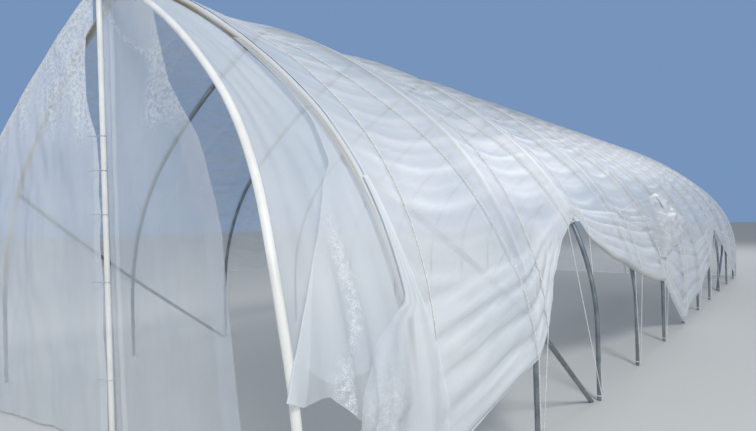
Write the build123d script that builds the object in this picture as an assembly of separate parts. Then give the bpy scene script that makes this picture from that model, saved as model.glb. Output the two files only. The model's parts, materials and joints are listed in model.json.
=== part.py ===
from build123d import *
import math
import os

# Polytunnel: pipe hoops in ground posts, a film cover laced down with ropes, film ends.
# Millimetres. +X is to the right seen from the front end, +Y runs to the back end, +Z is up.
# The origin lies on the ground, half way along and half way across.

# Hoops
bay = 1219.2
bay_count = 10
half_width = 2286.0
leg_height = 530.0
shoulder_radius = 2050.0
shoulder_angle = 48.0
roof_rise = 978.5
crown_radius = 300.0
pipe_od = 35.0
pipe_wall = 1.6

# Ground posts, which the hoops' legs slip over
slip_clearance = 0.3
ground_post_wall = 2.6
leg_foot_height = 300.0
slip_length = 120.0

# Leaning end bows, measured ahead of the end hoop; below the knee their legs stand upright
bow_foot_lead = 800.0
bow_crown_lead = 177.0
bow_skew = 0.062
bow_inset = 12.0
bow_knee_height = 1200.0
bow_knee_bend = 250.0
bow_points = 12

# Centre posts
centre_post_foot = 60.0
centre_post_head = -30.0
centre_post_od = 33.7

# Diagonal braces
brace_bays = 2
brace_top_height = 1700.0
brace_overhang = 2.0
brace_foot_setback = 60.0

# Film
film_thickness = 2.0
film_gap = 0.3
wall_angle = 30.0
left_hem_height = 780.0
film_overhang = 20.0
edge_roll_thickness = 3.5
edge_roll_foot = 450.0

# Hem of the right wall: place along the tunnel in bays from the first hoop, and height
right_hem = [
    (0.0, 330), (0.78, 540), (0.98, 590), (1.11, 720), (1.33, 1000), (1.67, 1240), (2.0, 1410),
    (2.16, 1220), (2.46, 1050), (3.05, 870), (3.47, 760), (3.93, 700), (4.9, 60), (5.35, 200),
    (6.0, 270), (7.0, 600), (8.0, 1150), (9.0, 540), (10.0, 60),
]
wall_split_bay = 5.5

# Loose flap of the right wall: places in bays from the first hoop, and heights
flap_outline = [
    (3.95, 930), (4.33, 1030), (4.77, 1090), (5.78, 1220), (5.61, 1380), (5.59, 1540),
    (5.28, 1640), (4.92, 1650), (4.44, 1590), (3.95, 1450),
]

# Film sheets of the two ends
panel_lead = 60.0
panel_seam = 1.0
panel_lap = 30.0
door_far_lead = 30.0
door_edge = [(330, 2860), (550, 2280), (810, 1920), (1000, 1390), (1150, 300), (1170, 20)]
door_panel_drop = 112.0
panel_edge = [
    (20, 0), (25, 440), (-10, 750), (5, 1060), (-30, 1300), (-5, 1490), (-30, 1630), (-15, 1770),
    (-40, 1990), (-120, 2130), (-170, 2270), (-180, 2520), (-155, 2670), (-55, 2730),
]

# Film on the right of the front end, as leads ahead of the first hoop, and heights
hood_hem = [(0, 1000), (350, 1060), (900, 940)]
curtain_outline = [
    (30, 2400), (200, 1850), (350, 1500), (490, 1280), (590, 1150), (700, 960), (775, 850),
    (740, 830), (700, 820), (630, 830), (580, 820), (550, 790), (490, 750), (430, 700),
    (400, 770), (320, 860), (170, 1050), (30, 1250),
]
corner_outline = [
    (0, 1600), (50, 1300), (170, 1050), (320, 860), (450, 680), (580, 400), (660, 50),
    (-100, 50), (-160, 490), (-180, 660), (-150, 840), (-120, 1020), (-70, 1240),
]

# Ropes and small fastenings
rope_diameter = 8.0
rope_gap = 5.0
rope_foot_height = 40.0
rope_points = 6
clip_heights = [440.0, 1060.0, 1490.0, 1770.0, 1990.0]
clip_length = 80.0
clip_wire = 5.0
clip_turn = 34.0
tied_at = [2.0, 8.0]
tie_drop = 45.0
tie_cord = 3.0
tie_knot = 18.0

shoulder_rise = shoulder_radius * math.sin(math.radians(shoulder_angle))
crown_height = leg_height + shoulder_rise + roof_rise
pipe_radius = pipe_od / 2
film_offset = pipe_radius + film_gap
second_film_offset = film_offset + film_thickness + film_gap
edge_roll_radius = film_offset + edge_roll_thickness
rope_tie_radius = pipe_radius - pipe_wall + rope_diameter / 2
first_y = -bay * bay_count / 2


def hoop_y(number):
    """Place of a hoop along the tunnel, counted from 1 at the front."""
    return first_y + bay * (number - 1)


def arch_points(offset=0.0):
    """Centres, radii and turns of the half arch, set out by an offset."""
    half = half_width + offset
    turn = math.radians(shoulder_angle)
    side = shoulder_radius + offset
    top = crown_radius + offset
    out = Vector(math.cos(turn), math.sin(turn))
    side_centre = Vector(half - side, leg_height)
    top_centre = Vector(0, crown_height + offset - top)
    reach = side_centre + out * side - top_centre
    roof = (reach.dot(reach) - top**2) / (2 * (out.dot(reach) - top))
    roof_centre = side_centre + out * (side - roof)
    rise = top_centre - roof_centre
    bend = math.atan2(rise.Y, rise.X)
    return {
        "half": half,
        "side": (side_centre, side, 0.0, math.degrees(turn)),
        "roof": (roof_centre, roof, math.degrees(turn), math.degrees(bend)),
        "top": (top_centre, top, math.degrees(bend), 90.0),
    }


def arc(form, start, stop):
    centre, radius = form[0], form[1]
    return CenterArc(centre, radius, start, stop - start)


def arch_wire(offset=0.0, foot=0.0):
    """The whole arch as one wire in its own XY plane, from the right foot to the left."""
    form = arch_points(offset)
    half = form["half"]
    right = [
        Line((half, foot), (half, leg_height)),
        arc(form["side"], 0, form["side"][3]),
        arc(form["roof"], form["roof"][2], form["roof"][3]),
    ]
    crown = [CenterArc(form["top"][0], form["top"][1], form["top"][2], 2 * (90 - form["top"][2]))]
    left = [edge.mirror(Plane.YZ) for edge in right]
    return Wire(right + crown + left)


def tube(path, outer, inner=0.0):
    """A round pipe, rod or rope along a path."""
    start = path.position_at(0)
    section = Plane(start, z_dir=path.tangent_at(0)) * Circle(outer / 2)
    body = sweep(section, path)
    if inner:
        body -= sweep(Plane(start, z_dir=path.tangent_at(0)) * Circle(inner / 2), path)
    return body


def upright(y):
    """The plane across the tunnel at y, with its own Y axis upwards."""
    return Plane(origin=(0, y, 0), x_dir=(1, 0, 0), z_dir=(0, -1, 0))


def above_ground(body):
    span = 4 * (half_width + crown_height) + bay * bay_count
    return body & Pos(0, 0, span / 2) * Box(span, span, span)


def bow_plane(end):
    """The leaning plane of the bow, ahead of the front hoop, or past the last one for end 1."""
    out = -1 if end < 0 else 1
    y = out * (-first_y + bow_foot_lead)
    lean = (bow_foot_lead - bow_crown_lead) / crown_height
    across = Vector(1, out * bow_skew, 0).normalized()
    normal = Vector(out * bow_skew, -1, -out * lean).normalized()
    up = normal.cross(across).normalized()
    normal = across.cross(up)
    return Plane(origin=(0, y, 0), x_dir=across, z_dir=normal)


def bow_setback(height):
    """How far the bow stands back from its leaning plane at a height, and its change with height."""
    lean = (bow_foot_lead - bow_crown_lead) / crown_height / (1 + bow_skew**2)
    share = min(max((bow_knee_height + bow_knee_bend - height) / (2 * bow_knee_bend), 0), 1)
    leg = max(bow_knee_height - bow_knee_bend - height, 0)
    return lean * (bow_knee_bend * share**2 + leg), -lean * share


def bow_spot(end, point):
    """The place on the bow that stands for a point of its flat arch."""
    place = bow_plane(end).from_local_coords(Vector(point.X, point.Y, 0))
    return place - Vector(0, end * bow_setback(place.Z)[0], 0)


def bow_path(end):
    """The bow's centre line: a leaning arch on two upright legs."""
    arch = arch_wire(-bow_inset, foot=leg_foot_height)
    plane = bow_plane(end)

    def heading(share):
        way = plane.x_dir * (arch % share).X + plane.y_dir * (arch % share).Y
        change = bow_setback(bow_spot(end, arch @ share).Z)[1] * way.Z
        return (way - Vector(0, end * change, 0)).normalized()

    return bent_wire(arch, lambda share: bow_spot(end, arch @ share), heading, bow_points)


def bent_wire(arch, spot, heading, points):
    """A wire through space that follows an arch, whose straight runs stay straight."""
    pieces = []
    first = 0.0
    for edge in arch.order_edges():
        last = first + edge.length / arch.length
        if edge.geom_type == GeomType.LINE:
            pieces.append(Line(spot(first), spot(last)))
        else:
            shares = [first + (last - first) * step / points for step in range(points + 1)]
            pieces.append(Spline([spot(s) for s in shares], tangents=[heading(first), heading(last)]))
        first = last
    return Wire(pieces)


def hoop(number):
    """One whole hoop, from the top of one ground post to the top of the other."""
    path = upright(hoop_y(number)) * arch_wire(foot=leg_foot_height)
    return tube(path, pipe_od, pipe_od - 2 * pipe_wall)


def end_bow(end):
    return tube(bow_path(end), pipe_od, pipe_od - 2 * pipe_wall)


def ground_post(foot, head):
    """A thinner pipe driven into the ground that a hoop's leg slips over."""
    outer = pipe_od - 2 * pipe_wall - 2 * slip_clearance
    return above_ground(tube(Line(foot, head), outer, outer - 2 * ground_post_wall))


def ground_posts(side):
    top = leg_foot_height + slip_length
    x = side * half_width
    posts = []
    for number in range(1, bay_count + 2):
        y = hoop_y(number)
        posts.append(ground_post(Vector(x, y, -pipe_od), Vector(x, y, top)))
    x = side * (half_width - bow_inset)
    for end in (-1, 1):
        posts.append(ground_post(bow_spot(end, Vector(x, -pipe_od)), bow_spot(end, Vector(x, top))))
    return Compound(children=posts)


def bow_point(end, across):
    """A point on the leaning bow's crown bend, across from its middle."""
    centre, radius = arch_points(-bow_inset)["top"][:2]
    rise = math.sqrt(radius**2 - across**2)
    return bow_plane(end).from_local_coords(Vector(across, centre.Y + rise, 0))


def bow_foot(end, side):
    return bow_spot(end, Vector(side * half_width, 0))


def post_axis(end):
    """Foot and head of the centre post, whose head meets the leaning bow beside its crown."""
    head = bow_point(end, centre_post_head)
    return Vector(centre_post_foot, head.Y, 0), head


def centre_post(end):
    foot, head = post_axis(end)
    path = Line(foot - (head - foot).normalized() * pipe_od, head)
    post = above_ground(tube(path, centre_post_od, centre_post_od - 2 * pipe_wall))
    cope = bow_plane(end) * arch_wire(-bow_inset, foot=leg_foot_height)
    return post - tube(cope, pipe_od + 2 * slip_clearance)


def brace(end, side):
    """A pipe bent to the wall that runs from a hoop's foot up to the end hoop."""
    run = brace_bays * bay - brace_foot_setback
    slope = math.hypot(run, brace_top_height) / brace_top_height
    inset = pipe_radius + slip_clearance + (edge_roll_radius if end < 0 else pipe_radius)
    form = arch_points(-inset)
    centre, radius = form["side"][0], form["side"][1]
    sine = (brace_top_height - centre.Y) / radius
    top_x = centre.X + radius * math.sqrt(1 - sine**2)
    knee = Vector(form["half"], leg_height * slope)
    head = Vector(top_x, brace_top_height * slope)
    bend = TangentArc(knee, head, tangent=(0, 1))
    stub = head + bend.tangent_at(1) * brace_overhang
    path = Wire([Line((form["half"], -pipe_od), knee), bend, Line(head, stub)])
    y = end * (-first_y - run)
    up = Vector(0, end * run, brace_top_height).normalized()
    plane = Plane(origin=(0, y, 0), x_dir=(side, 0, 0), z_dir=Vector(side, 0, 0).cross(up))
    return above_ground(tube(plane * path, pipe_od, pipe_od - 2 * pipe_wall))


def strip(part, start, stop, offset, thickness):
    """The section of a film band on one arc of the arch, from one angle to another."""
    inner, outer = arch_points(offset)[part], arch_points(offset + thickness)[part]
    low, high = arc(inner, start, stop), arc(outer, start, stop)
    ends = [Line(low @ 0, high @ 0), Line(low @ 1, high @ 1)]
    return make_face(Wire([low, ends[1], high, ends[0]]))


def leg_strip(foot, offset, thickness):
    half = half_width + offset
    middle = half + thickness / 2
    return Pos(middle, (foot + leg_height) / 2) * Rectangle(thickness, leg_height - foot)


def band(section, side, front, back):
    """A section of the cover drawn out along the tunnel, on the right or mirrored to the left."""
    body = extrude(upright(front) * section, back - front, dir=(0, 1, 0))
    return body if side > 0 else body.mirror(Plane.YZ)


def edge_room():
    """How far the film keeps from the first hoop's plane to clear its rolled edge and rope tie."""
    reach = max(edge_roll_radius, rope_tie_radius + rope_diameter / 2)
    return math.sqrt(reach**2 - film_offset**2) + film_gap


def cover_front():
    return first_y + edge_room()


def cover_back():
    return -first_y + film_overhang


def cover_edge():
    """The cover's front edge, rolled round the first hoop."""
    path = upright(first_y) * arch_wire(foot=edge_roll_foot)
    return tube(path, 2 * edge_roll_radius, 2 * film_offset)


def wall_section(foot):
    low = leg_strip(foot, film_offset, film_thickness)
    return low + strip("side", 0, wall_angle, film_offset, film_thickness)


def cover_wall_left():
    section = strip("side", hem_angle(left_hem_height), wall_angle, film_offset, film_thickness)
    return band(section, -1, cover_front(), cover_back())


def hem_angle(height):
    """Angle on the shoulder's arc at a height above the leg."""
    return math.degrees(math.asin((height - leg_height) / (shoulder_radius + film_offset)))


def cover_wall_right(start_bay, stop_bay):
    """The right wall, cut along the hem where the film is tied up."""
    wall = band(wall_section(0), 1, cover_front(), cover_back())
    front = cover_front() if start_bay == 0 else first_y + start_bay * bay + film_gap
    back = cover_back() if stop_bay == bay_count else first_y + stop_bay * bay
    hem = [(first_y + place * bay, height) for place, height in right_hem]
    hem[-1] = (cover_back(), hem[-1][1])
    outline = hem + [(hem[-1][0], crown_height), (hem[0][0], crown_height)]
    keep = extrude(Plane.YZ * make_face(Polyline(outline, close=True)), 2 * half_width)
    window = Pos(half_width, (front + back) / 2, crown_height / 2)
    window = window * Box(2 * half_width, back - front, crown_height)
    return wall & keep & window


def cover_shoulder(side):
    section = strip("side", wall_angle, shoulder_angle, film_offset, film_thickness)
    return band(section, side, cover_front(), cover_back())


def cover_roof(side):
    form = arch_points()
    section = strip("roof", shoulder_angle, form["roof"][3], film_offset, film_thickness)
    section += strip("top", form["top"][2], 90, film_offset, film_thickness)
    return band(section, side, cover_front(), cover_back())


def half_band_section(offset):
    """The section of the film over half the arch, from the ground to the crown."""
    form = arch_points()
    section = leg_strip(0, offset, film_thickness)
    section += strip("side", 0, shoulder_angle, offset, film_thickness)
    section += strip("roof", shoulder_angle, form["roof"][3], offset, film_thickness)
    return section + strip("top", form["top"][2], 90, offset, film_thickness)


def half_arch_room(offset, side):
    """The space under half the arch and a lap past its middle, drawn out past both ends."""
    form = arch_points(offset)
    rim = [
        Line((form["half"], 0), (form["half"], leg_height)),
        arc(form["side"], 0, form["side"][3]),
        arc(form["roof"], form["roof"][2], form["roof"][3]),
        arc(form["top"], form["top"][2], 90),
    ]
    top = rim[-1] @ 1
    lap = Vector(-panel_lap, top.Y)
    rim += [Line(top, lap), Line(lap, (lap.X, 0)), Line((lap.X, 0), (form["half"], 0))]
    room = extrude(upright(0) * make_face(Wire(rim)), 3 * first_y, both=True)
    return room if side > 0 else room.mirror(Plane.YZ)


def sheet_plane(start, stop):
    """The upright plane through two points on the ground, with X along the way between them."""
    along = Vector(stop.X - start.X, stop.Y - start.Y, 0).normalized()
    return Plane(origin=(start.X, start.Y, 0), x_dir=along, z_dir=along.cross(Vector(0, 0, 1)))


def panel_plane(end, side):
    """The plane of an end panel, from the centre post to the leaning bow's foot."""
    crown, foot = Vector(0, post_axis(end)[0].Y, 0), bow_foot(end, side)
    lead = Vector(0, end * panel_lead, 0)
    return sheet_plane(crown + lead, foot + lead)


def end_panel(end, side, start=panel_seam):
    """A film sheet from beside the middle of an end to the foot of the leaning bow."""
    width = 2 * half_width
    sheet = Pos(width / 2 + start, crown_height) * Rectangle(width, 2 * crown_height)
    sheet = extrude(panel_plane(end, side) * sheet, film_thickness / 2, both=True)
    return above_ground(sheet & half_arch_room(pipe_radius, side))


def front_panel():
    """The left panel of the front end, whose free edge hangs off the centre post."""
    top = 2 * crown_height
    outline = panel_edge + [(panel_edge[-1][0], top), (-2 * half_width, top), (-2 * half_width, 0)]
    reach = upright(2 * first_y) * make_face(Polyline(outline, close=True))
    return end_panel(-1, -1, -panel_lap) & extrude(reach, -2 * first_y, dir=(0, 1, 0))


def hood(end, side):
    """The film between the end hoop and the end panel, which covers the leaning bow."""
    far = -first_y + bow_foot_lead + half_width
    near, far = (cover_back() + film_gap, far) if end > 0 else (-far, first_y - edge_room())
    body = band(half_band_section(film_offset), side, near, far)
    width = 3 * half_width
    cutter = extrude(panel_plane(end, side) * Rectangle(2 * width, 2 * width), width)
    if (cutter.center() - body.center()).Y * end < 0:
        cutter = extrude(panel_plane(end, side) * Rectangle(2 * width, 2 * width), -width)
    return body - cutter


def door_panel():
    """The film sheet beside the centre post, pulled aside at its free edge."""
    foot, head = post_axis(-1)
    edge = centre_post_od / 2 + clip_wire + 2 * slip_clearance
    height = crown_height - door_panel_drop
    top = foot.X + (head.X - foot.X) * height / head.Z
    start = Vector(0, foot.Y, 0)
    stop = Vector(door_edge[-1][0], first_y - door_far_lead, 0)
    outline = [(foot.X + edge, 0), (top + edge, height)] + door_edge
    outline += [(door_edge[-1][0], 0)]
    return flat_sheet(outline, sheet_plane(start, stop)) & half_arch_room(-2 * pipe_radius, 1)


def flat_sheet(outline, plane):
    return extrude(plane * make_face(Polyline(outline, close=True)), film_thickness / 2, both=True)


def side_film(outline, offset):
    """A layer of film over the right side, cut to an outline of leads and heights."""
    far = -first_y + bow_foot_lead + half_width
    body = band(half_band_section(offset), 1, -far, far)
    corners = [(first_y - lead, height) for lead, height in outline]
    return body & extrude(Plane.YZ * make_face(Polyline(corners, close=True)), 2 * half_width)


def cover_flap():
    """The loose lap of film that is turned up over the right wall."""
    return side_film([(-place * bay, height) for place, height in flap_outline], second_film_offset)


def front_hood():
    """The right half's film between the first hoop and the leaning bow, above its hem."""
    outline = hood_hem + [(hood_hem[-1][0], 2 * crown_height), (0, 2 * crown_height)]
    outline = [(max(lead, edge_room()), height) for lead, height in outline]
    width = 3 * half_width
    reach = bow_plane(-1).offset(-pipe_radius) * Rectangle(2 * width, 2 * width)
    return side_film(outline, film_offset) & extrude(reach, width, dir=(0, 1, 0))


def front_curtain():
    """The drawn-back film that hangs outside the hood, down to its wavy hem."""
    return side_film(curtain_outline, second_film_offset)


def front_corner():
    """The cover's lower front corner, wrapped round the first hoop."""
    return side_film(corner_outline, second_film_offset + film_thickness + film_gap)


def clip(end, height):
    """A wire ring round the centre post with a tail that grips the left panel's edge."""
    foot, head = post_axis(end)
    axis = head - foot
    reach = centre_post_od / 2 + slip_clearance + clip_wire / 2
    ring = Torus(reach, clip_wire / 2)
    tail = Pos(-reach - clip_length / 2, 0, 0) * Rot(0, 90, 0) * Cylinder(clip_wire / 2, clip_length)
    lean = math.degrees(math.atan2(axis.X, axis.Z))
    place = foot + axis * (height / axis.Z)
    return Pos(place.X, place.Y, place.Z) * Rot(0, lean, 0) * Rot(0, 0, -end * clip_turn) * (ring + tail)


def post_clips():
    return Compound(children=[clip(end, height) for end in (-1, 1) for height in clip_heights])


def film_tie(place, height):
    """A cord ring and its knot round a hoop, just under the film's gathered hem."""
    form = arch_points()
    angle = hem_angle(height - tie_drop)
    centre, radius = form["side"][0], form["side"][1]
    x = centre.X + radius * math.cos(math.radians(angle))
    z = centre.Y + radius * math.sin(math.radians(angle))
    seat = pipe_radius + slip_clearance
    ring = Torus(seat + tie_cord / 2, tie_cord / 2)
    body = ring + Pos(0, -seat - tie_knot / 2, 0) * Sphere(tie_knot / 2)
    return Pos(x, first_y + place * bay, z) * Rot(0, -angle, 0) * body


def film_ties():
    return Compound(children=[film_tie(place, height) for place, height in right_hem if place in tied_at])


def rope_route(offset, start, stop):
    """The shortest way over the arch from one place along the tunnel to another."""
    arch = arch_wire(offset, foot=rope_foot_height)
    slant = (stop - start) / arch.length

    def spot(share):
        point = arch @ share
        return Vector(point.X, start + (stop - start) * share, point.Y)

    def heading(share):
        way = arch % share
        return Vector(way.X, slant, way.Y).normalized()

    return bent_wire(arch, spot, heading, rope_points)


def rope(number, direction, level):
    """A rope from a hoop's right foot over the cover to the next hoop's left foot, or back."""
    offset = film_offset + film_thickness + rope_diameter / 2 + rope_gap
    offset += level * (rope_diameter + rope_gap)
    right, left = (number, number + 1) if direction > 0 else (number + 1, number)
    return tube(rope_route(offset, hoop_y(right), hoop_y(left)), rope_diameter)


def ropes(direction):
    level = 0 if direction > 0 else 1
    return Compound(children=[rope(number, direction, level) for number in range(1, bay_count + 1)])


def rope_tie(side, number):
    """The turn of rope round a ground post that the ropes are tied to."""
    ring = Torus(rope_tie_radius, rope_diameter / 2)
    return Pos(side * half_width, hoop_y(number), rope_foot_height) * ring


def rope_ties():
    numbers = range(1, bay_count + 2)
    return Compound(children=[rope_tie(side, number) for side in (-1, 1) for number in numbers])


os.makedirs("parts", exist_ok=True)
parts = {f"hoop_{number:02d}": hoop(number) for number in range(1, bay_count + 2)}
parts["end_bow_front"] = end_bow(-1)
parts["end_bow_back"] = end_bow(1)
parts["centre_post_front"] = centre_post(-1)
parts["centre_post_back"] = centre_post(1)
for end, end_name in ((-1, "front"), (1, "back")):
    for side, side_name in ((-1, "left"), (1, "right")):
        parts[f"brace_{end_name}_{side_name}"] = brace(end, side)
parts["ground_posts_left"] = ground_posts(-1)
parts["ground_posts_right"] = ground_posts(1)
parts["cover_left_wall"] = cover_wall_left()
parts["cover_left_shoulder"] = cover_shoulder(-1)
parts["cover_left_roof"] = cover_roof(-1)
parts["cover_right_roof"] = cover_roof(1)
parts["cover_right_shoulder"] = cover_shoulder(1)
parts["cover_right_wall_front"] = cover_wall_right(0, wall_split_bay)
parts["cover_right_wall_rear"] = cover_wall_right(wall_split_bay, bay_count)
parts["cover_flap"] = cover_flap()
parts["cover_edge_front"] = cover_edge()
parts["front_hood_left"] = hood(-1, -1)
parts["front_hood_right"] = front_hood()
parts["front_panel_left"] = front_panel()
parts["front_door_panel"] = door_panel()
parts["front_curtain"] = front_curtain()
parts["front_corner"] = front_corner()
parts["back_hood_left"] = hood(1, -1)
parts["back_hood_right"] = hood(1, 1)
parts["back_panel_left"] = end_panel(1, -1)
parts["back_panel_right"] = end_panel(1, 1)
parts["post_clips"] = post_clips()
parts["film_ties"] = film_ties()
parts["hold_down_ropes_a"] = ropes(1)
parts["hold_down_ropes_b"] = ropes(-1)
parts["rope_ties"] = rope_ties()

for name, body in parts.items():
    export_step(body, f"parts/{name}.step")
    print(name, round(body.volume))
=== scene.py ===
"""Polytunnel greenhouse: translucent film laced over pipe hoops, with drawn-back film ends."""

import json
import math

import bmesh
import bpy
from mathutils import Matrix, Vector, noise


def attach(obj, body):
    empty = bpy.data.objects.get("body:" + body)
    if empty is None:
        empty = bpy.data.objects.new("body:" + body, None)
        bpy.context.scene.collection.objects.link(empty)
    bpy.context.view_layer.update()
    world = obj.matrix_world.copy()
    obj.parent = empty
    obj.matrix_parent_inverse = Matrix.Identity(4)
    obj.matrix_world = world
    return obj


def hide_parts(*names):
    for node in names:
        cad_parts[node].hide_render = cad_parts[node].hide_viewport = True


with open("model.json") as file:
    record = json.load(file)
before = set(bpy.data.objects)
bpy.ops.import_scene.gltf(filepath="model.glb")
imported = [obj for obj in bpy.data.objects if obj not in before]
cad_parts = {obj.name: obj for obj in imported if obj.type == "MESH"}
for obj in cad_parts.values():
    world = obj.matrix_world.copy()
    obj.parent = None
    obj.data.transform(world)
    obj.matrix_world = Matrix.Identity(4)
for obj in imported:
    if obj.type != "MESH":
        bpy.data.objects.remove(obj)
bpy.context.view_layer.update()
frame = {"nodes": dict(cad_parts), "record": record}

# The hoops, in metres: X across, Y along the tunnel, Z up
BAY = 1.2192
BAYS = 10
FRONT = -BAY * BAYS / 2
HALF_WIDTH = 2.286
CROWN = 3.032
LEG = 0.53
SHOULDER_RADIUS = 2.05
SHOULDER_TURN = math.radians(48)
CROWN_RADIUS = 0.3
PIPE_RADIUS = 0.0175

# The leaning bows at the ends
BOW_LEAD = 0.8
BOW_CROWN_LEAD = 0.177
BOW_SKEW = 0.062
BOW_INSET = 0.012
BOW_KNEE = 1.2
BOW_BEND = 0.25
BOW_LEAN = (BOW_LEAD - BOW_CROWN_LEAD) / CROWN
POST_FOOT = 0.06
POST_LEAN = 0.0304
POST_RADIUS = 0.017

# The film
FILM_OFFSET = PIPE_RADIUS + 0.0013
OVERHANG = 0.02
EDGE_ROOM = 0.016
SAG = 0.045
FILM_FOOT = 0.02
# Share of the right sheet, from its hem, that is wound into the roll
ROLL_SHARE = 0.07

# The ropes: their groove in the film, and where they end beside their ties
ROPE_RADIUS = 0.0032
ROPE_GROOVE = 0.014
ROPE_GAP = 0.002
ROPE_CROSSING = 0.007
ROPE_LEAVES_FILM = 0.03
ROPE_LOWEST = 0.12
ROPE_FOOT = 0.03
ROPE_OUT = 0.026
ROPE_ASIDE = 0.012

# Hem of the right wall: bays from the first hoop, and height
RIGHT_HEM = [
    (-0.02, 0.33), (0.4, 0.43), (0.78, 0.54), (0.98, 0.59), (1.11, 0.72), (1.33, 1.0),
    (1.67, 1.24), (2.0, 1.41), (2.16, 1.22), (2.46, 1.05), (3.05, 0.87), (3.47, 0.76),
    (3.93, 0.7), (4.9, 0.05), (5.35, 0.2), (6.0, 0.27), (7.0, 0.6), (8.0, 1.15), (9.0, 0.54),
    (10.02, 0.05),
]
# Where that hem is tied up: bays, and height
KNOTS = [(2.0, 1.41), (8.0, 1.15)]
# Height of the left wall's hem
LEFT_HEM = 0.79
# Upper limits of the pleats that run between a knot and the hem's low places: bays, and height
PLEAT_TOPS = [
    (0.0, 1.12), (1.0, 1.2), (1.6, 1.36), (2.0, 1.47), (2.3, 1.5), (3.0, 1.5), (4.0, 1.45),
    (4.9, 1.2), (6.0, 1.0), (7.0, 1.1), (7.7, 1.2), (8.0, 1.21), (8.4, 1.15), (10.0, 0.9),
]

# Share of the end panel that is wrapped round the bow, and its free edge: height, and place across
PANEL_WRAP = 0.03
PANEL_EDGE = [
    (0.0, 0.02), (0.44, 0.025), (0.75, -0.01), (1.06, 0.005), (1.3, -0.03), (1.49, -0.005),
    (1.63, -0.03), (1.77, -0.015), (1.99, -0.04), (2.13, -0.12), (2.27, -0.17), (2.52, -0.18),
    (2.67, -0.155), (2.73, -0.055), (3.0, -0.05),
]
# The door film: its foot, top and turned-back width, and its free edge: height, and place across
DOOR_FOOT = 0.03
DOOR_TOP = 2.91
DOOR_TURNBACK = 0.17
DOOR_EDGE = [(0.02, 1.17), (0.3, 1.15), (1.39, 1.0), (1.92, 0.81), (2.28, 0.55), (2.86, 0.33)]
# Rim of the door film's upper fold, painted bright with sparkle: place across, and height
DOOR_RIM = [
    (-0.1, 2.91), (0.05, 2.74), (0.17, 2.59), (0.32, 2.49), (0.49, 2.4), (0.59, 2.36), (0.9, 2.05),
]
# The curtain drawn back to the first hoop: its top, its gap from the hoop, the width folded back,
# how far its hem reaches, and the length of hem on the fold
CURTAIN_TOP = 2.4
CURTAIN_GAP = 0.024
CURTAIN_FOLD = 0.115
CURTAIN_REACH = 0.75
CURTAIN_TURNED = 0.11
# The edge where it is folded: height, and width of the curtain
CURTAIN_EDGE = [
    (0.83, 0.75), (0.97, 0.684), (1.11, 0.6), (1.29, 0.48), (1.36, 0.423), (1.58, 0.256),
    (1.67, 0.15), (1.9, 0.07), (2.4, 0.04),
]
# Its strip of film with painted sparkle: height, and distance ahead of the hoop
CURTAIN_SPARKLE = [
    (0.79, 0.48), (0.86, 0.49), (0.93, 0.45), (1.02, 0.36), (1.11, 0.335), (1.3, 0.34),
]
# Its hem: distance from the hoop's side, and height
CURTAIN_HEM = [
    (0.03, 0.74), (0.39, 0.71), (0.43, 0.733), (0.462, 0.764), (0.527, 0.83), (0.574, 0.837),
    (0.653, 0.832), (0.75, 0.87),
]
# The cover's corner at the first hoop: height, and how far it reaches ahead of the hoop
CORNER_FOOT = 0.05
CORNER_TOP = 1.6
CORNER_EDGE = [
    (0.05, 0.66), (0.4, 0.57), (0.68, 0.45), (0.78, 0.4), (0.89, 0.317), (0.97, 0.23),
    (1.0, 0.18), (1.03, 0.12), (1.06, 0.05), (1.1, 0.03), (1.6, 0.02),
]
# How far the corner reaches behind the hoop: height, and distance
WRAP_EDGE = [
    (0.05, 0.13), (0.48, 0.157), (0.62, 0.159), (0.75, 0.14), (0.88, 0.119), (1.01, 0.096),
    (1.12, 0.067), (1.3, 0.035), (1.6, 0.012),
]
# The cover's rolled front edge: heights where it starts on the right and stops on the left
EDGE_ROLL_START = 1.0
EDGE_ROLL_STOP = 0.9

# Lower and upper edges of the loose flap of the right wall: bays from the first hoop, and height
FLAP_START = 3.05
FLAP_STOP = 5.83
FLAP_LOW = [
    (FLAP_START, 1.38), (3.7, 1.26), (3.9, 0.94), (4.05, 0.91), (4.52, 0.99), (5.05, 1.06),
    (FLAP_STOP, 1.2),
]
FLAP_HIGH = [
    (FLAP_START, 1.41), (3.88, 1.54), (5.06, 1.666), (5.34, 1.54), (5.65, 1.42), (FLAP_STOP, 1.22),
]
# The tear: bays and height of its middle, half width in bays, half height, and lean in bays a metre
TEAR = (4.86, 1.565, 0.035, 0.08, 0.41)


def clamp(value, low=0.0, high=1.0):
    """Keeps a value between two limits."""
    return min(max(value, low), high)


def smooth(low, high, value):
    """Rises smoothly from 0 at low to 1 at high."""
    share = clamp((value - low) / (high - low))
    return share * share * (3 - 2 * share)


def between(table, key):
    """Reads a table of pairs at a place between its rows."""
    if key <= table[0][0]:
        return table[0][1]
    for (left, low), (right, high) in zip(table, table[1:]):
        if key <= right:
            return low + (high - low) * (key - left) / (right - left)
    return table[-1][1]


def arch_form():
    """Centres and turns of the arcs of the half arch, and the arc lengths where they start."""
    out = Vector((math.cos(SHOULDER_TURN), math.sin(SHOULDER_TURN)))
    side = Vector((HALF_WIDTH - SHOULDER_RADIUS, LEG))
    top = Vector((0, CROWN - CROWN_RADIUS))
    reach = side + out * SHOULDER_RADIUS - top
    roof_radius = (reach.dot(reach) - CROWN_RADIUS**2) / (2 * (out.dot(reach) - CROWN_RADIUS))
    roof = side + out * (SHOULDER_RADIUS - roof_radius)
    rise = top - roof
    bend = math.atan2(rise.y, rise.x)
    arcs = [(side, SHOULDER_RADIUS, 0.0, SHOULDER_TURN)]
    arcs += [(roof, roof_radius, SHOULDER_TURN, bend), (top, CROWN_RADIUS, bend, math.pi / 2)]
    starts = [LEG]
    for _, radius, start, stop in arcs:
        starts.append(starts[-1] + radius * (stop - start))
    return arcs, starts


ARCS, STARTS = arch_form()
HALF_ARCH = STARTS[-1]


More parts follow.
